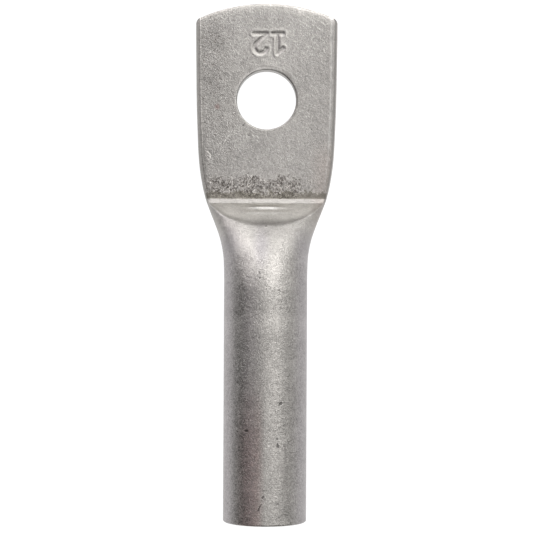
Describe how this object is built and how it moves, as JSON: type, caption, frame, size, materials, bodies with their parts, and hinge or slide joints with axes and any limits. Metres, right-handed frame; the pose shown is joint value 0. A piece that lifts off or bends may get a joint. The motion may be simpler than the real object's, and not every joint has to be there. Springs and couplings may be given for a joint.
{
  "type": "aluminium cable lug",
  "caption": "Crimp-on tube lug: round barrel for a stranded conductor, pressed into a flat palm with a stud hole.",
  "frame": {"origin": "centre of the stud hole on the contact face, the flat back of the palm", "axes": "+Z out of the palm's front along the stud, +Y towards the palm's sheared tip, the barrel opens along -Y"},
  "size_m": [0.0312, 0.1126, 0.0182],
  "materials": {
    "lug_aluminium": "matte, pressed and tumbled, with fine grain and handling marks"
  },
  "bodies": {
    "root": {"cable_lug": "lug_aluminium"}
  },
  "joints": []
}
